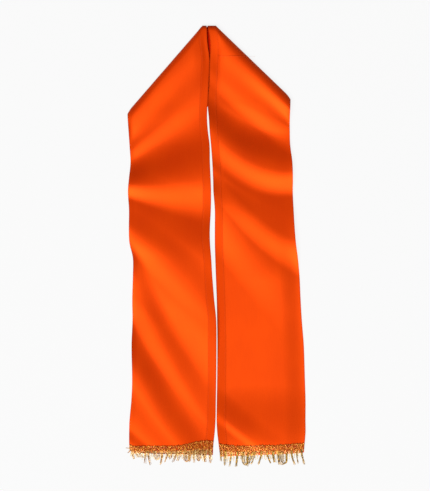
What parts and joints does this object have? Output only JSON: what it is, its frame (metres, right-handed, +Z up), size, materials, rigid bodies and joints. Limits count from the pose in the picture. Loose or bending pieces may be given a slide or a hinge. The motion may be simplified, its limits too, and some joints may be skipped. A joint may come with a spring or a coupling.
{
  "type": "satin patka",
  "caption": "Long orange satin sash laid flat, neck folded behind on two diagonals, tails side by side, gold braid and thread fringe on both ends.",
  "frame": {"origin": "centre of the footprint, on the ground that the sash lies on", "axes": "+Z up, out of the cloth's face; +Y along the tails towards the folded neck; +X towards the tail on the right as seen from above"},
  "size_m": [0.3296, 0.8196, 0.0168],
  "materials": {
    "satin": "orange polyester satin, warp face up, soft broad sheen",
    "satin_hem": "the same satin turned and stitched, a little flatter and darker",
    "gold_fringe": "crimped metallic gold braid and thread"
  },
  "bodies": {
    "root": {"left_tail": "satin", "neck_stretch": "satin", "right_tail": "satin", "left_edge_hem": "satin_hem", "right_edge_hem": "satin_hem", "left_gold_fringe": "gold_fringe", "right_gold_fringe": "gold_fringe"}
  },
  "joints": []
}
